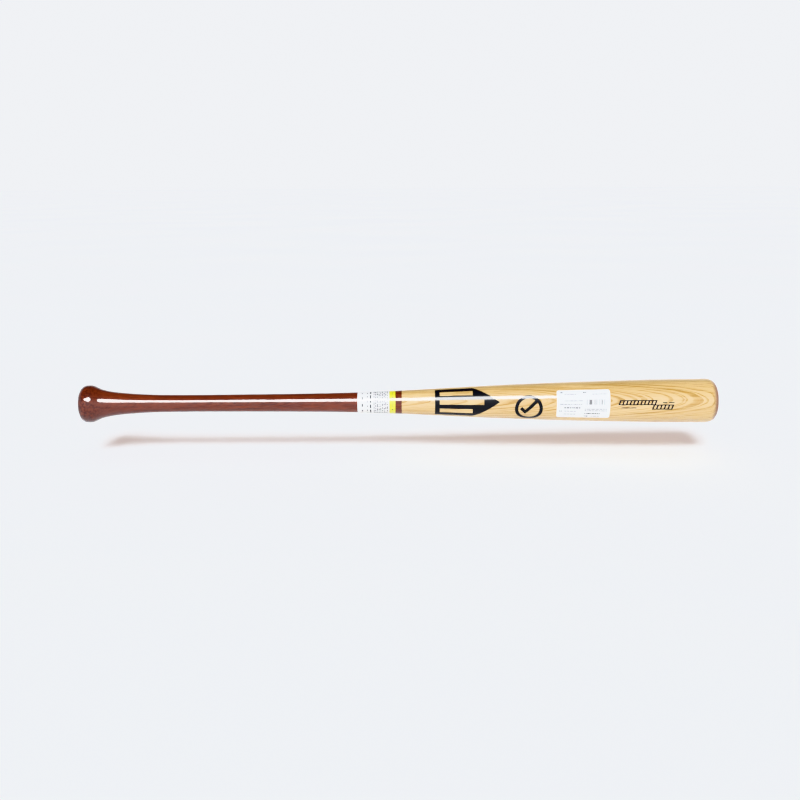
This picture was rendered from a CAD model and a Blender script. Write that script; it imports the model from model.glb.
# Wooden baseball bat: the finished surfaces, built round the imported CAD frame.
#
# Metres, in the CAD's frame: the bat's axis is the X axis, the knob's flat end is at x = 0, and the
# printed side faces -Y.

import bisect
import math
import random

import bmesh
import bpy
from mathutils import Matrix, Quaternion, Vector, noise


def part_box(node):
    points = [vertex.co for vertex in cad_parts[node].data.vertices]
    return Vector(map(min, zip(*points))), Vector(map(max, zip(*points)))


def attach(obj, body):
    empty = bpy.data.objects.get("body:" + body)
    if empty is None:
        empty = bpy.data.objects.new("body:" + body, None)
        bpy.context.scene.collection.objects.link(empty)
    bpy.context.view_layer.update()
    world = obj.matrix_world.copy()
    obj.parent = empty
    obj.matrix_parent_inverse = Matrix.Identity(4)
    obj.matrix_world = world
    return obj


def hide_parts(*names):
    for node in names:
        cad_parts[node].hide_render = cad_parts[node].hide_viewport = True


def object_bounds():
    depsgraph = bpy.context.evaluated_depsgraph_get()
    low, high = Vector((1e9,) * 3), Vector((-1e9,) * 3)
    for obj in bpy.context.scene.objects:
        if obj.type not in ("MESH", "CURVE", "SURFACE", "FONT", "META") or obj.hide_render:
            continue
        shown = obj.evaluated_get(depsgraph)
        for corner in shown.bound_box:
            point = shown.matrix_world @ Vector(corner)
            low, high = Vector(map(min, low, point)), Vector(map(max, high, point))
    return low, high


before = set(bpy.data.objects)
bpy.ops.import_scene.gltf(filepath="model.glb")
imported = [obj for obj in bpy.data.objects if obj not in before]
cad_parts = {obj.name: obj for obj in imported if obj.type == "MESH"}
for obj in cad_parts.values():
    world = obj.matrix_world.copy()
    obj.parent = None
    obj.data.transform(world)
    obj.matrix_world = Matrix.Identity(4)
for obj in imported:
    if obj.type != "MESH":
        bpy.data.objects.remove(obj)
cad_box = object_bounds()

MM = 0.001

# Camera: straight at the printed side, from a little above.
VIEW_ELEVATION = math.radians(12)
VIEW_DISTANCE = 1.417
VIEW_ROLL = math.radians(0.32)
VIEW_LENS = 47.5
AIM_OFFSET = Vector((2.6, 0, 2.9)) * MM  # from the middle of the bat to the point aimed at

# Studio. Elevations are above the horizon, and a sun's softness is the angle that it spans.
FLOOR_DROP = 75 * MM  # from the bat's axis to the floor
FLOOR_SIZE = 60
FLOOR_GLOW = (0.19, 0.035, 0.0)  # warm light that fills the shadow
FLOOR_PAINT = (0.845, 0.975, 0.985, 1)
KEY_ELEVATION = math.radians(37)
KEY_SIDE = -0.06  # towards the knob, for each metre towards the key
KEY_STRENGTH = 3.5
KEY_SOFTNESS = math.radians(16.5)
KEY_COLOR = (0.94, 1.01, 1.12)
TOP_ELEVATION = math.radians(80)
TOP_STRENGTH = 0.62
TOP_SOFTNESS = math.radians(70)
TOP_COLOR = (1, 0.98, 0.96)
SOFTBOX_ELEVATION = math.radians(38.5)
SOFTBOX_SIZE = (1.3, 0.72)
SOFTBOX_CENTRE_X = 0.2  # from the knob's end
SOFTBOX_DISTANCE = 1.27
SOFTBOX_POWER = 82
SWEEP_COLOR = (1.165, 1.185, 1.225, 1)
CEILING_COLOR = (0.11, 0.1, 0.095, 1)
SWEEP_TOP = math.radians(12)  # the pale sweep reaches up to here
CEILING_EDGE = math.radians(45)  # and the dark ceiling comes down to here
SUN_DISTANCE = 3

# Turned body.
PROFILE_STEP = 2.5 * MM
BEND_STEP = math.radians(4)  # the profile's turn from one step to the next
FACETS = 120
SHARP_ANGLE = math.radians(50)
STAIN_MARGIN = 8.6 * MM  # bare stained wood between the yellow strip and the natural wood
WAVINESS = 0.045 * MM  # what hand sanding leaves
WAVES_ALONG = 60  # in a metre
WAVES_ROUND = 1.4
WAVES_FADE = 10 * MM  # radius under which they fade out towards the axis

# Growth rings, in millimetres: the pith runs behind the bat, and comes closer towards the barrel.
PITH_AT_KNOB = (290.0, -75.0)
PITH_SLOPE = (-0.085, 0.022)
RING_WIDTH = 1.4
RING_WANDER = 1.3

# Stained and natural wood. The end grain's tint sets in as the surface turns to face along the bat,
# from end_from to end_to of the way.
STAINED = {
    "pale": (0.165, 0.03, 0.011, 1),
    "dark": (0.052, 0.0055, 0.0022, 1),
    "pore": (0.02, 0.003, 0.0015, 1),
    "end_tint": (0.45, 0.4, 0.4, 1),
    "end_from": 0.5,
    "end_to": 0.97,
    "streak": 0.4,
    "contrast": 0.4,
    "gloss": 0.1,
    "lacquer_ior": 1.59,
}
NATURAL = {
    "pale": (0.76, 0.54, 0.255, 1),
    "dark": (0.37, 0.2, 0.025, 1),
    "pore": (0.2, 0.09, 0.015, 1),
    "end_tint": (0.34, 0.17, 0.07, 1),
    "end_from": 0.1,
    "end_to": 0.75,
    "streak": 0.2,
    "contrast": 1.25,
    "gloss": 0.35,
    "lacquer_ior": 1.85,
}
FIGURE_FULL = 10  # millimetres from the knob's end up to which its blotchy figure is full
FIGURE_END = 45  # and where it has gone
THIN_LACQUER_FROM = 0.45  # end grain soaks up lacquer: how far the surface has turned where it thins
THIN_LACQUER_TO = 0.9
THIN_LACQUER = 0.15

# Paper and foil, pressed onto the wood.
PRESS_GAP = 0.02 * MM
PAPER = 0.1 * MM
FOIL = 0.03 * MM
INK = 0.012 * MM
PATCH_STEP_ALONG = 5 * MM
PATCH_STEP_ROUND = 1.1 * MM
WRAP_STEPS = 132  # round the bat
WRAP_STEPS_ALONG = 10
WRAP_SEAM = math.radians(150)  # above the printed side
WRAP_OVERLAP = 0.5  # radians
CLIMB_BEFORE = 0.22  # radians before the full turn where the paper starts to climb onto its beginning
CLIMB_LENGTH = 0.2
WHITE_LABEL = (0.88, 0.86, 0.83, 1)
YELLOW_LABEL = (0.72, 0.67, 0.015, 1)
WHITE_STICKER = (0.88, 0.87, 0.85, 1)
STICKER_CORNER = 3 * MM
GREY_INK = (0.1, 0.1, 0.11, 1)
BLACK_INK = (0.03, 0.03, 0.035, 1)
BLACK_FOIL = (0.006, 0.006, 0.008, 1)
SCUFFED_FOIL = (0.035, 0.03, 0.028, 1)

# Foil marks.
MAKER_STRIPES = 7  # stripes and windows together, in the home plate's height
MAKER_SHOULDER = 50 * MM  # from its flat end to where it starts to narrow
MAKER_MID_REACH = 15 * MM  # of the middle window, past the shoulder
TICK_STROKE = 4.6 * MM  # and the ring's
TICK_ELBOW = 9 * MM
TICK_SHORT_ARM = 8 * MM
NAME_LEAN = 0.35
NAME_POST = 2.2 * MM
NAME_RAIL = 1.4 * MM
NAME_OVERLAP = 3 * MM
NAME_LADDER = 7 / 13  # height of one ladder, as a part of the name's
NAME_MIDDLE = 0.26  # where the second ladder starts, as a part of half the name's length
NAME_PANES = (10, 5)
NAME_EXTRAS = (  # left, low, right and high, as parts of half the name's length and height
    (-0.85, -0.75, -0.3, -0.56),
    (0.55, 0.35, 0.72, 0.55),
    (0.78, 0.35, 0.98, 0.55),
)

# Print, in millimetres from the middle of its sheet. A row is as high as its size, and its bars have
# lengths between the two given, with gaps between them.
LABEL_REACH = 29  # up and down round the bat
LABEL_HEADINGS = (  # along the bat, size, lengths, gap
    (-14.8, 1.8, (2, 6), 5),
    (-7.9, 1.3, (1.5, 3), 4),
    (-3.8, 2.0, (3, 7), 2),
)
LABEL_LINES = 9
LABEL_FIRST_LINE = 0.8
LABEL_LINE_PITCH = 2.25
LABEL_LINE = (1.35, (0.6, 5), 1.3)
CAUTION_TURNS = 2  # up and down from the first mark
CAUTION_PITCH = 16.5
CAUTION_FIRST = -8.5
CAUTION_DOT = (-0.9, 0, 0.9, 1.9)
CAUTION_DASH = (-0.2, 5, 0.2, 11)
STICKER_FINE_ROWS = (  # left, right, height
    (-25, -9.5, 14.1),
    (11.6, 31, 14),
    (-25, -1, 5.2),
    (-31, -1, 0.6),
    (-25, -9.5, -9.2),
    (-25.5, -10, -14),
    (1.5, 31, -6),
    (1.5, 31, -8.4),
    (9, 22, -17.3),
)
STICKER_FINE = (1.2, (1, 5), 0.8)
STICKER_BOLD_ROWS = (
    (-30.5, -27, 16.7),
    (-0.4, 3.7, 16.7),
    (-25.5, -4, -4.3),
    (-32, -28, -9.2),
    (1.6, 22, -12.7),
    (1.4, 7.5, -17.3),
)
STICKER_BOLD = (1.9, (1, 4), 0.7)
BARCODE_HEIGHT = 7
BARCODE_BLOCKS = (  # left, right, bar, space
    (4.2, 5, 0.8, 0.4),
    (7.4, 11.2, 1.2, 0.25),
    (13.4, 18.4, 0.5, 0.5),
    (20.4, 21.4, 0.4, 0.5),
    (23.4, 24.6, 1.5, 0.4),
    (27.2, 28, 0.7, 0.5),
)


# ---------------------------------------------------------------- turned profile

def cad_profile():
    """The CAD body's rings as (x, radius), from the middle of the knob's end to the barrel's."""
    found = {
        (round(v.co.x, 6), round(math.hypot(v.co.y, v.co.z), 6))
        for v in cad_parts["bat_body"].data.vertices
    }
    last_x = max(x for x, _ in found)
    return sorted(found, key=lambda ring: (ring[0], -ring[1] if ring[0] == last_x else ring[1]))


def smoothed(points, step):
    """Centripetal Catmull-Rom curve through the points, cut every step or so, and finer where it bends."""
    points = [Vector(p) for p in points]
    padded = [2 * points[0] - points[1], *points, 2 * points[-1] - points[-2]]
    curve = []
    for a, b, c, d in zip(padded, padded[1:], padded[2:], padded[3:]):
        t1 = (b - a).length ** 0.5
        t2 = t1 + (c - b).length ** 0.5
        t3 = t2 + (d - c).length ** 0.5
        turn = max((b - a).angle(c - b), (c - b).angle(d - c))
        count = max(1, round((c - b).length / step), math.ceil(turn / BEND_STEP))
        for i in range(count):
            t = t1 + (t2 - t1) * i / count
            ab = a.lerp(b, t / t1)
            bc = b.lerp(c, (t - t1) / (t2 - t1))
            cd = c.lerp(d, (t - t2) / (t3 - t2))
            start = ab.lerp(bc, t / t2)
            end = bc.lerp(cd, (t - t1) / (t3 - t1))
            curve.append(start.lerp(end, (t - t1) / (t2 - t1)))
    return [*curve, points[-1]]


PROFILE = smoothed(cad_profile(), PROFILE_STEP)
PROFILE_X = [p.x for p in PROFILE]


def radius_at(x):
    after = min(max(bisect.bisect_left(PROFILE_X, x), 1), len(PROFILE) - 1)
    a, b = PROFILE[after - 1], PROFILE[after]
    return a.y + (b.y - a.y) * (x - a.x) / max(b.x - a.x, 1e-9)


def on_wood(x, angle, lift):
    """The point at x along the bat, at an angle above the -Y side, lifted off the wood."""
    radius = radius_at(x) + lift
    return Vector((x, -radius * math.cos(angle), radius * math.sin(angle)))


# ---------------------------------------------------------------- meshes

def finished(name, bm, material, slot, *nodes):
    """Makes the piece, rides it on the bat and says which CAD nodes it stands for."""
    bmesh.ops.recalc_face_normals(bm, faces=bm.faces)
    for face in bm.faces:
        face.smooth = True
    for edge in bm.edges:
        edge.smooth = edge.calc_face_angle(0) < SHARP_ANGLE
    mesh = bpy.data.meshes.new(name)
    bm.to_mesh(mesh)
    bm.free()
    mesh.materials.append(material)
    piece = bpy.data.objects.new(name, mesh)
    bpy.context.scene.collection.objects.link(piece)
    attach(piece, "root")
    if nodes:
        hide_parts(*nodes)
    return piece


def waviness(x, angle):
    """How far the sanded wood stands out from a true turning."""
    place = (x * WAVES_ALONG, WAVES_ROUND * math.cos(angle), WAVES_ROUND * math.sin(angle))
    return WAVINESS * noise.noise(Vector(place))


def turned(profile):
    """Turns a profile that starts and ends on the axis."""
    bm = bmesh.new()
    rings = []
    for x, radius in profile:
        if radius < 1e-6:
            rings.append([bm.verts.new((x, 0, 0))])
            continue
        ring = []
        for i in range(FACETS):
            angle = 2 * math.pi * i / FACETS
            r = radius + waviness(x, angle) * min(1, radius / WAVES_FADE)
            ring.append(bm.verts.new((x, -r * math.cos(angle), r * math.sin(angle))))
        rings.append(ring)
    for a, b in zip(rings, rings[1:]):
        for i in range(FACETS):
            corners = [a[i % len(a)], a[(i + 1) % len(a)], b[(i + 1) % len(b)], b[i % len(b)]]
            bm.faces.new(list(dict.fromkeys(corners)))
    return bm


def wrap(start, end):
    """Paper wound once round the bat, its end lying on its beginning."""
    around = 2 * math.pi
    along = WRAP_STEPS_ALONG
    xs = [start + (end - start) * i / along for i in range(along + 1)]
    bm = bmesh.new()
    loops = []
    for i in range(WRAP_STEPS + 1):
        turn = (around + WRAP_OVERLAP) * i / WRAP_STEPS
        climb = min(1, max(0, (turn - around + CLIMB_BEFORE) / CLIMB_LENGTH))
        inner = PRESS_GAP + climb * (PAPER + PRESS_GAP / 2)
        loop = [bm.verts.new(on_wood(x, WRAP_SEAM + turn, inner)) for x in xs]
        loop += [bm.verts.new(on_wood(x, WRAP_SEAM + turn, inner + PAPER)) for x in reversed(xs)]
        loops.append(loop)
    count = len(loops[0])
    for a, b in zip(loops, loops[1:]):
        for i in range(count):
            bm.faces.new((a[i], a[(i + 1) % count], b[(i + 1) % count], b[i]))
    for loop in (loops[0], loops[-1]):
        for i in range(along):
            bm.faces.new((loop[i], loop[i + 1], loop[count - 2 - i], loop[count - 1 - i]))
    return bm


def patch(outlines, place, lift, thickness):
    """Bends flat outlines round the bat. Each outline is a list of closed loops, the first its rim."""
    bm = bmesh.new()
    for loops in outlines:
        edges = []
        for loop in loops:
            verts = [bm.verts.new((u, v, 0)) for u, v in loop]
            edges += [bm.edges.new((a, b)) for a, b in zip(verts, verts[1:] + verts[:1])]
        bmesh.ops.triangle_fill(bm, edges=edges, use_beauty=True, use_dissolve=False)
    reach = [max(abs(v.co[i]) for v in bm.verts) for i in (0, 1)]
    for axis, step in ((0, PATCH_STEP_ALONG), (1, PATCH_STEP_ROUND)):
        normal = Vector((1, 0, 0)) if axis == 0 else Vector((0, 1, 0))
        cuts = int(reach[axis] / step)
        for i in range(-cuts, cuts + 1):
            bmesh.ops.bisect_plane(
                bm, geom=[*bm.verts, *bm.edges, *bm.faces], plane_co=normal * (i * step), plane_no=normal,
                dist=1e-7,
            )
    grown = bmesh.ops.extrude_face_region(bm, geom=list(bm.faces), use_keep_orig=True)
    for item in grown["geom"]:
        if isinstance(item, bmesh.types.BMVert):
            item.co.z = thickness
    for v in bm.verts:
        x = place["x"] + v.co.x
        v.co = on_wood(x, place["angle"] + v.co.y / place["radius"], lift + v.co.z)
    return bm


def place_of(node):
    """Where a CAD patch lies: its middle along and round the bat, its length and its height."""
    points = [v.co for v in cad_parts[node].data.vertices]
    xs = [p.x for p in points]
    angles = [math.atan2(p.z, -p.y) for p in points]
    x = (min(xs) + max(xs)) / 2
    return {
        "x": x,
        "angle": (min(angles) + max(angles)) / 2,
        "radius": radius_at(x),
        "length": max(xs) - min(xs),
        "height": (max(angles) - min(angles)) * radius_at(x),
    }


# ---------------------------------------------------------------- node helpers

class Nodes:
    """Short ways to add shader nodes to one material."""

    def __init__(self, name):
        self.material = bpy.data.materials.new(name)
        self.material.use_nodes = True
        self.tree = self.material.node_tree
        self.shader = self.tree.nodes["Principled BSDF"]

    def set(self, node, values):
        for key, value in values.items():
            socket = node.inputs[key]
            if isinstance(value, bpy.types.NodeSocket):
                self.tree.links.new(value, socket)
            else:
                socket.default_value = value

    def add(self, kind, values=None, **settings):
        node = self.tree.nodes.new(kind)
        for key, value in settings.items():
            setattr(node, key, value)
        self.set(node, values or {})
        return node

    def math(self, operation, a, b=0.0, c=0.0, clamp=False):
        node = self.add("ShaderNodeMath", {0: a, 1: b, 2: c}, operation=operation, use_clamp=clamp)
        return node.outputs[0]

    def ramp(self, value, low, high, to_low=0.0, to_high=1.0, smooth=True):
        node = self.add(
            "ShaderNodeMapRange",
            {"Value": value, "From Min": low, "From Max": high, "To Min": to_low, "To Max": to_high},
            interpolation_type="SMOOTHSTEP" if smooth else "LINEAR",
        )
        return node.outputs["Result"]

    def mix(self, factor, a, b, blend="MIX"):
        node = self.add("ShaderNodeMix", data_type="RGBA", blend_type=blend)
        self.set(node, {0: factor, 6: a, 7: b})
        return node.outputs[2]

    def place(self):
        """Object coordinates in millimetres, as separate numbers."""
        found = self.add("ShaderNodeTexCoord").outputs["Object"]
        scaled = self.add("ShaderNodeVectorMath", {0: found, "Scale": 1000.0}, operation="SCALE")
        apart = self.add("ShaderNodeSeparateXYZ", {0: scaled.outputs[0]})
        return apart.outputs[0], apart.outputs[1], apart.outputs[2]

    def vector(self, x, y, z):
        return self.add("ShaderNodeCombineXYZ", {0: x, 1: y, 2: z}).outputs[0]

    def noise(self, place, size, stretch=1.0, detail=2.0, seed=0.0, roughness=0.5):
        """Noise from 0 to 1 whose blobs are size across and stretch times longer along the bat."""
        x, y, z = place
        vector = self.vector(
            self.math("MULTIPLY_ADD", x, 1 / (size * stretch), seed),
            self.math("MULTIPLY_ADD", y, 1 / size, seed),
            self.math("MULTIPLY", z, 1 / size),
        )
        values = {"Vector": vector, "Scale": 1.0, "Detail": detail, "Roughness": roughness}
        return self.add("ShaderNodeTexNoise", values).outputs["Fac"]


# ---------------------------------------------------------------- wood

def wood(name, look):
    """Lacquered ash. Rings stand round the pith line, so their shapes on the surface follow the cut."""
    n = Nodes(name)
    dark, streak = look["dark"], look["streak"]
    place = n.place()
    x, y, z = place
    wander = n.noise(place, 42, stretch=3.5, detail=2, seed=3.1)
    ripple = n.noise(place, 9, stretch=5, detail=2, seed=7.7)
    off_y = n.math("SUBTRACT", y, n.math("MULTIPLY_ADD", x, PITH_SLOPE[0], PITH_AT_KNOB[0]))
    off_z = n.math("SUBTRACT", z, n.math("MULTIPLY_ADD", x, PITH_SLOPE[1], PITH_AT_KNOB[1]))
    reach = n.math("ADD", n.math("MULTIPLY", off_y, off_y), n.math("MULTIPLY", off_z, off_z))
    reach = n.math("MULTIPLY_ADD", wander, 2 * RING_WANDER, n.math("SQRT", reach))
    reach = n.math("MULTIPLY_ADD", ripple, 0.5 * RING_WANDER, reach)
    year = n.math("DIVIDE", reach, RING_WIDTH)
    decade = n.math("MULTIPLY", year, 0.31)
    wide = n.add("ShaderNodeTexNoise", {"W": decade, "Detail": 1.0}, noise_dimensions="1D")
    year = n.math("MULTIPLY_ADD", wide.outputs["Fac"], 1.3, year)
    season = n.math("FRACT", year)
    early = n.math("MULTIPLY", n.ramp(season, 0.0, 0.08), n.ramp(season, 0.75, 0.1))
    yearly = n.add("ShaderNodeTexWhiteNoise", {"W": n.math("FLOOR", year)}, noise_dimensions="1D")
    depth = n.ramp(yearly.outputs["Value"], 0, 1, 0.6, 1.0, smooth=False)
    early = n.math("MULTIPLY", early, depth)

    fibre = n.noise(place, 0.55, stretch=45, detail=3, seed=1.3)
    soft = n.noise(place, 3.2, stretch=22, detail=2, seed=5.2)
    broad = n.noise(place, 30, stretch=4, detail=1, seed=9.4)
    holes = n.noise(place, 0.32, stretch=14, detail=1, seed=2.2)
    pores = n.math("MULTIPLY", n.ramp(holes, 0.6, 0.72), n.ramp(early, 0.15, 0.6))

    wide_streak = 1.4 * streak
    grain = n.math("MULTIPLY", early, look["contrast"])
    grain = n.math("ADD", grain, n.ramp(fibre, 0.35, 0.75, -streak, streak, smooth=False))
    soft_streaks = n.ramp(soft, 0.3, 0.7, -wide_streak, wide_streak, smooth=False)
    color = n.mix(n.math("ADD", grain, soft_streaks, clamp=True), look["pale"], dark)
    color = n.mix(n.ramp(broad, 0.35, 0.65, 0.0, 0.25), color, dark)
    fleck = n.noise(place, 1.5, stretch=7, detail=1, seed=6.6)
    color = n.mix(n.ramp(fleck, 0.42, 0.68, 0.0, streak), color, dark)
    figure = n.noise(place, 3.4, stretch=0.8, detail=3, seed=8.3)
    by_knob = n.ramp(x, FIGURE_END, FIGURE_FULL)
    color = n.mix(n.math("MULTIPLY", n.ramp(figure, 0.45, 0.6, 0.0, 0.9), by_knob), color, dark)
    color = n.mix(n.math("MULTIPLY", pores, 0.7), color, look["pore"])

    normal = n.add("ShaderNodeNewGeometry").outputs["Normal"]
    along = n.math("ABSOLUTE", n.add("ShaderNodeSeparateXYZ", {0: normal}).outputs[0])
    end = n.ramp(along, look["end_from"], look["end_to"])
    color = n.mix(end, color, n.mix(1.0, color, look["end_tint"], "MULTIPLY"))

    relief = n.math("MULTIPLY_ADD", fibre, 0.35, n.math("MULTIPLY", pores, -1.0))
    base_bump = n.add("ShaderNodeBump", {"Strength": 0.35, "Distance": 0.05 * MM, "Height": relief})
    swell = n.noise(place, 6, stretch=2, detail=2, seed=4.4)
    swell = n.math("ADD", swell, n.math("MULTIPLY", pores, -0.04))
    coat_bump = n.add("ShaderNodeBump", {"Strength": 1.0, "Distance": 0.09 * MM, "Height": swell})
    n.set(n.shader, {
        "Base Color": color,
        "Roughness": n.ramp(fibre, 0.3, 0.7, 0.42, 0.56, smooth=False),
        "Normal": base_bump.outputs[0],
        "Coat Normal": coat_bump.outputs[0],
        "Specular IOR Level": look["gloss"],
        "Coat Weight": n.ramp(along, THIN_LACQUER_FROM, THIN_LACQUER_TO, 1.0, THIN_LACQUER),
        "Coat Roughness": 0.06,
        "Coat IOR": look["lacquer_ior"],
    })
    return n.material


# ---------------------------------------------------------------- paper, ink and foil

def paper(name, color, coat):
    """Cloudy white or yellow paper under a more or less glossy film."""
    n = Nodes(name)
    place = n.place()
    fibres = n.noise(place, 0.25, stretch=2, detail=3, seed=6.1)
    cloud = n.noise(place, 5, detail=2, seed=8.8)
    shade = tuple(0.93 * c for c in color[:3]) + (1,)
    bump = n.add("ShaderNodeBump", {"Strength": 0.3, "Distance": 0.01 * MM, "Height": fibres})
    n.set(n.shader, {
        "Base Color": n.mix(n.ramp(n.math("ADD", fibres, cloud), 0.75, 1.25), color, shade),
        "Roughness": n.ramp(fibres, 0.3, 0.7, 0.42, 0.55, smooth=False),
        "Normal": bump.outputs[0],
        "Coat Weight": coat,
        "Coat Roughness": 0.08,
        "Coat IOR": 1.65,
    })
    return n.material


def print_ink(name, color):
    """Ink that covers the paper unevenly."""
    n = Nodes(name)
    speckle = n.noise(n.place(), 0.18, detail=2, seed=1.9)
    faded = tuple(min(1, c + 0.12) for c in color[:3]) + (1,)
    n.set(n.shader, {
        "Base Color": n.mix(n.ramp(speckle, 0.5, 0.7), color, faded),
        "Roughness": n.ramp(speckle, 0.3, 0.7, 0.45, 0.6, smooth=False),
    })
    return n.material


def foil(name):
    """Transfer foil with fine scuffs along the bat, under the lacquer."""
    n = Nodes(name)
    scuff = n.noise(n.place(), 0.5, stretch=7, detail=4, seed=3.3)
    bump = n.add("ShaderNodeBump", {"Strength": 0.25, "Distance": 0.01 * MM, "Height": scuff})
    n.set(n.shader, {
        "Base Color": n.mix(n.ramp(scuff, 0.62, 0.8), BLACK_FOIL, SCUFFED_FOIL),
        "Roughness": n.ramp(scuff, 0.3, 0.75, 0.3, 0.5, smooth=False),
        "Normal": bump.outputs[0],
        "Specular IOR Level": 0.1,
        "Coat Weight": 1.0,
        "Coat Roughness": 0.06,
        "Coat IOR": 1.33,
    })
    return n.material


# ---------------------------------------------------------------- outlines, in metres round their middle

def box(left, low, right, high):
    return [(left, low), (right, low), (right, high), (left, high)]


def arc(cx, cy, radius, start, end, steps):
    angles = [start + (end - start) * i / steps for i in range(steps + 1)]
    return [(cx + radius * math.cos(a), cy + radius * math.sin(a)) for a in angles]


def rounded_box(length, height, corner):
    loop = []
    for quarter, (sx, sy) in enumerate(((1, 1), (-1, 1), (-1, -1), (1, -1))):
        cx = sx * (length / 2 - corner)
        cy = sy * (height / 2 - corner)
        start = quarter * math.pi / 2
        loop += arc(cx, cy, corner, start, start + math.pi / 2, 8)
    return loop


def maker_outlines(place):
    """A home plate that points to the barrel, cut into stripes by three windows."""
    stroke = place["height"] / MAKER_STRIPES
    left, right, top = -place["length"] / 2, place["length"] / 2, place["height"] / 2
    shoulder = left + MAKER_SHOULDER
    loops = [[(left, -top), (shoulder, -top), (right, 0), (shoulder, top), (left, top)]]
    for row in (-1, 0, 1):
        reach = shoulder + (MAKER_MID_REACH if row == 0 else 0)
        low = (2 * row - 0.5) * stroke
        loops.append(box(left + stroke, low, reach, low + stroke))
    return [loops]


def approval_outlines(place):
    """A ring with a tick in it, whose long arm runs into the ring."""
    radius = place["length"] / 2
    inner = radius - TICK_STROKE
    tilt = math.pi / 4
    half = math.asin(TICK_STROKE / 2 / inner)
    window = arc(0, 0, inner, tilt + half, tilt - half + 2 * math.pi, 48)
    for along, across in (
        (-TICK_ELBOW, -TICK_STROKE / 2),
        (-TICK_ELBOW, TICK_SHORT_ARM),
        (-TICK_ELBOW + TICK_STROKE, TICK_SHORT_ARM),
        (-TICK_ELBOW + TICK_STROKE, TICK_STROKE / 2),
    ):
        window.append((
            along * math.cos(tilt) - across * math.sin(tilt),
            along * math.sin(tilt) + across * math.cos(tilt),
        ))
    return [[arc(0, 0, radius, 0, 2 * math.pi, 72)[:-1], window]]


def leaning(points):
    return [(u + NAME_LEAN * v, v) for u, v in points]


def name_outlines(place):
    """Two leaning ladders in place of two words, with an underline and two small bars by them."""
    height = place["height"] * NAME_LADDER
    top = place["height"] / 2
    right = place["length"] / 2
    middle = right * NAME_MIDDLE
    first_end = middle + NAME_OVERLAP
    loops = [leaning([
        (-right, top - height), (middle, top - height), (middle, -top), (right, -top),
        (right, height - top), (first_end, height - top), (first_end, top), (-right, top),
    ])]
    ladders = ((-right, first_end, top - height / 2), (middle, right, height / 2 - top))
    for (start, end, centre), panes in zip(ladders, NAME_PANES):
        low = centre - height / 2 + NAME_RAIL
        high = centre + height / 2 - NAME_RAIL
        pitch = (end - start - NAME_POST) / panes
        for i in range(panes):
            left = start + NAME_POST + pitch * i
            loops.append(leaning(box(left, low, left + pitch - NAME_POST, high)))
    extras = [box(a * right, b * top, c * right, d * top) for a, b, c, d in NAME_EXTRAS]
    return [loops, *([leaning(extra)] for extra in extras)]


def millimetres(points):
    return [(u * MM, v * MM) for u, v in points]


def words(rng, start, end, middle, size, word, gap, upright=False):
    """A greeked line of print: bars of uneven length, in millimetres, where words would be."""
    bars = []
    a = start
    while a < end:
        b = min(end, a + rng.uniform(*word))
        low, high = middle - size / 2, middle + size / 2
        corners = box(low, a, high, b) if upright else box(a, low, b, high)
        bars.append([millimetres(corners)])
        a = b + gap
    return bars


def barcode(blocks, low, high):
    """Upright bars, in millimetres, which say nothing: (left, right, bar, space) for each block."""
    bars = []
    for left, right, bar, space in blocks:
        a = left
        while a < right:
            bars.append([millimetres(box(a, low, a + bar, high))])
            a += bar + space
    return bars


# ---------------------------------------------------------------- the bat

def bat_wood():
    """The turned body in two pieces, which meet where the stain ends."""
    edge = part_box("caution_strip")[1].x + STAIN_MARGIN
    cut = [edge, radius_at(edge)]
    handle = [p for p in PROFILE if p.x < edge - 0.5 * MM]
    barrel = [p for p in PROFILE if p.x > edge + 0.5 * MM]
    stained = wood("stained_ash", STAINED)
    natural = wood("natural_ash", NATURAL)
    finished("bat_handle", turned([*handle, cut, (edge, 0)]), stained, "stained_ash", "bat_body")
    finished("bat_barrel", turned([(edge, 0), cut, *barrel]), natural, "natural_ash", "bat_body")


def printed(name, bars, place, ink, slot):
    """Print on a sheet of paper that lies on the wood."""
    finished(name, patch(bars, place, PRESS_GAP + PAPER, INK), ink, slot)


def band(node, color, slot):
    """A CAD band as a strip of paper, and its place for print. Its seam is at the back."""
    lo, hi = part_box(node)
    finished(node, wrap(lo.x, hi.x), paper(node, color, 1.0), slot, node)
    x = (lo.x + hi.x) / 2
    return {"x": x, "angle": 0, "radius": radius_at(x)}


def wrap_label(fine_ink, bold_ink):
    """Lines of print run round the bat: three rows of headings, then small print."""
    place = band("wrap_label", WHITE_LABEL, "white_paper")
    rng = random.Random(3)
    headings = []
    for row in LABEL_HEADINGS:
        headings += words(rng, -LABEL_REACH, LABEL_REACH, *row, upright=True)
    printed("label_headings", headings, place, bold_ink, "white_paper")
    lines = []
    for i in range(LABEL_LINES):
        along = LABEL_FIRST_LINE + LABEL_LINE_PITCH * i
        lines += words(rng, -LABEL_REACH, LABEL_REACH, along, *LABEL_LINE, upright=True)
    printed("label_small_print", lines, place, fine_ink, "white_paper")


def caution_strip(bold_ink):
    """A dot and a dash of print by turns, round the strip."""
    place = band("caution_strip", YELLOW_LABEL, "yellow_paper")
    marks = []
    for turn in range(-CAUTION_TURNS, CAUTION_TURNS + 1):
        shift = turn * CAUTION_PITCH + CAUTION_FIRST
        for left, low, right, high in (CAUTION_DOT, CAUTION_DASH):
            marks.append([millimetres(box(left, low + shift, right, high + shift))])
    printed("caution_marks", marks, place, bold_ink, "yellow_paper")


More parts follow.
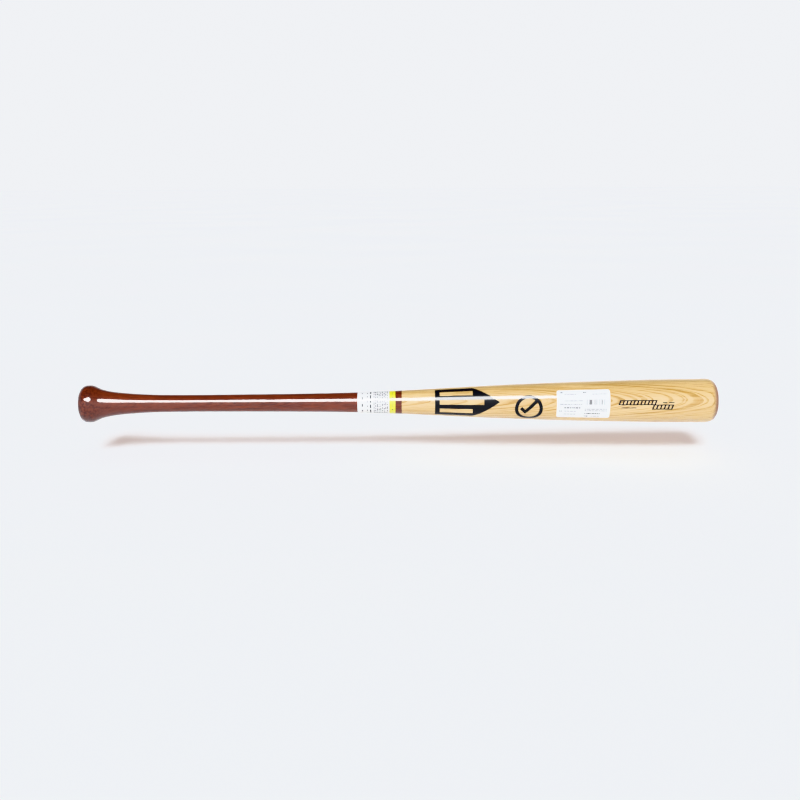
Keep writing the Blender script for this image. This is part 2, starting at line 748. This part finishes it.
def price_sticker(fine_ink, bold_ink):
    """Two columns: rows of print on the left, and a barcode over more rows on the right."""
    place = place_of("price_sticker")
    sheet = patch([[rounded_box(place["length"], place["height"], STICKER_CORNER)]], place, PRESS_GAP, PAPER)
    white = paper("sticker_paper", WHITE_STICKER, 0.12)
    finished("price_sticker", sheet, white, "white_paper", "price_sticker")
    rng = random.Random(11)
    fine = []
    for row in STICKER_FINE_ROWS:
        fine += words(rng, *row, *STICKER_FINE)
    printed("sticker_small_print", fine, place, fine_ink, "white_paper")
    bold = []
    for row in STICKER_BOLD_ROWS:
        bold += words(rng, *row, *STICKER_BOLD)
    bold += barcode(BARCODE_BLOCKS, 0, BARCODE_HEIGHT)
    printed("sticker_headings", bold, place, bold_ink, "white_paper")


def foil_marks():
    """The three marks, each where its CAD solid is."""
    black = foil("black_foil")
    for node, outlines in (
        ("maker_mark", maker_outlines),
        ("approval_mark", approval_outlines),
        ("model_name", name_outlines),
    ):
        place = place_of(node)
        finished(node, patch(outlines(place), place, PRESS_GAP, FOIL), black, "black_foil", node)


# ---------------------------------------------------------------- studio

def camera():
    """Aimed a little off the middle of the bat, and rolled slightly."""
    data = bpy.data.cameras.new("camera")
    data.lens = VIEW_LENS
    data.sensor_width = 36
    cam = bpy.data.objects.new("camera", data)
    bpy.context.scene.collection.objects.link(cam)
    lo, hi = cad_box
    back = Vector((0, -math.cos(VIEW_ELEVATION), math.sin(VIEW_ELEVATION)))
    cam.location = (lo + hi) / 2 + AIM_OFFSET + back * VIEW_DISTANCE
    cam.rotation_mode = "QUATERNION"
    cam.rotation_quaternion = (-back).to_track_quat("-Z", "Y") @ Quaternion((0, 0, 1), -VIEW_ROLL)
    bpy.context.scene.camera = cam


def floor():
    """A wide pale sheet, which glows faintly so that the shadow on it stays warm."""
    n = Nodes("floor_paint")
    cloud = n.noise(n.place(), 900, detail=1)
    n.set(n.shader, {
        "Base Color": n.mix(n.ramp(cloud, 0.3, 0.7), FLOOR_PAINT, tuple(0.98 * c for c in FLOOR_PAINT)),
        "Roughness": 0.9,
        "Specular IOR Level": 0.1,
        "Emission Color": (*FLOOR_GLOW, 1),
        "Emission Strength": 1.0,
    })
    bm = bmesh.new()
    bmesh.ops.create_grid(bm, x_segments=4, y_segments=4, size=FLOOR_SIZE / 2)
    mesh = bpy.data.meshes.new("floor")
    bm.to_mesh(mesh)
    bm.free()
    mesh.materials.append(n.material)
    sheet = bpy.data.objects.new("floor", mesh)
    sheet.location = ((cad_box[0].x + cad_box[1].x) / 2, 0, -FLOOR_DROP)
    bpy.context.scene.collection.objects.link(sheet)


def light(name, kind, location, target, **settings):
    data = bpy.data.lights.new(name, kind)
    for key, value in settings.items():
        setattr(data, key, value)
    lamp = bpy.data.objects.new(name, data)
    lamp.location = location
    lamp.rotation_mode = "QUATERNION"
    lamp.rotation_quaternion = (Vector(target) - Vector(location)).to_track_quat("-Z", "Y")
    bpy.context.scene.collection.objects.link(lamp)
    return lamp


def sun(name, side, elevation, strength, softness, color):
    """Light from the printed side that shows in no reflection."""
    middle = (cad_box[0] + cad_box[1]) / 2
    towards = Vector((side, -math.cos(elevation), math.sin(elevation)))
    lamp = light(
        name, "SUN", middle + towards * SUN_DISTANCE, middle,
        energy=strength, angle=softness, color=color,
    )
    lamp.visible_glossy = False


def studio_light():
    """Two suns light the bat, and the softbox shows only as the long highlight on the lacquer."""
    sun("key", KEY_SIDE, KEY_ELEVATION, KEY_STRENGTH, KEY_SOFTNESS, KEY_COLOR)
    sun("top", 0, TOP_ELEVATION, TOP_STRENGTH, TOP_SOFTNESS, TOP_COLOR)
    height = SOFTBOX_DISTANCE * math.tan(SOFTBOX_ELEVATION)
    softbox = light(
        "softbox", "AREA", (SOFTBOX_CENTRE_X, -SOFTBOX_DISTANCE, height), (SOFTBOX_CENTRE_X, 0, 0),
        energy=SOFTBOX_POWER, shape="ELLIPSE", size=SOFTBOX_SIZE[0], size_y=SOFTBOX_SIZE[1],
    )
    softbox.visible_diffuse = False


def studio_world():
    """A pale sweep all round, which turns into a dark ceiling higher up."""
    world = bpy.data.worlds.new("studio")
    world.use_nodes = True
    bpy.context.scene.world = world
    tree = world.node_tree
    place = tree.nodes.new("ShaderNodeTexCoord")
    apart = tree.nodes.new("ShaderNodeSeparateXYZ")
    height = tree.nodes.new("ShaderNodeMapRange")
    height.interpolation_type = "SMOOTHSTEP"
    height.inputs["From Min"].default_value = math.sin(SWEEP_TOP)
    height.inputs["From Max"].default_value = math.sin(CEILING_EDGE)
    blend = tree.nodes.new("ShaderNodeMix")
    blend.data_type = "RGBA"
    blend.inputs[6].default_value = SWEEP_COLOR
    blend.inputs[7].default_value = CEILING_COLOR
    tree.links.new(place.outputs["Generated"], apart.inputs[0])
    tree.links.new(apart.outputs[2], height.inputs["Value"])
    tree.links.new(height.outputs["Result"], blend.inputs[0])
    tree.links.new(blend.outputs[2], tree.nodes["Background"].inputs["Color"])


camera()
bat_wood()
grey_ink = print_ink("grey_ink", GREY_INK)
black_ink = print_ink("black_ink", BLACK_INK)
wrap_label(grey_ink, black_ink)
caution_strip(black_ink)
price_sticker(grey_ink, black_ink)
foil_marks()
floor()
studio_light()
studio_world()
bpy.context.scene.view_settings.view_transform = "Khronos PBR Neutral"
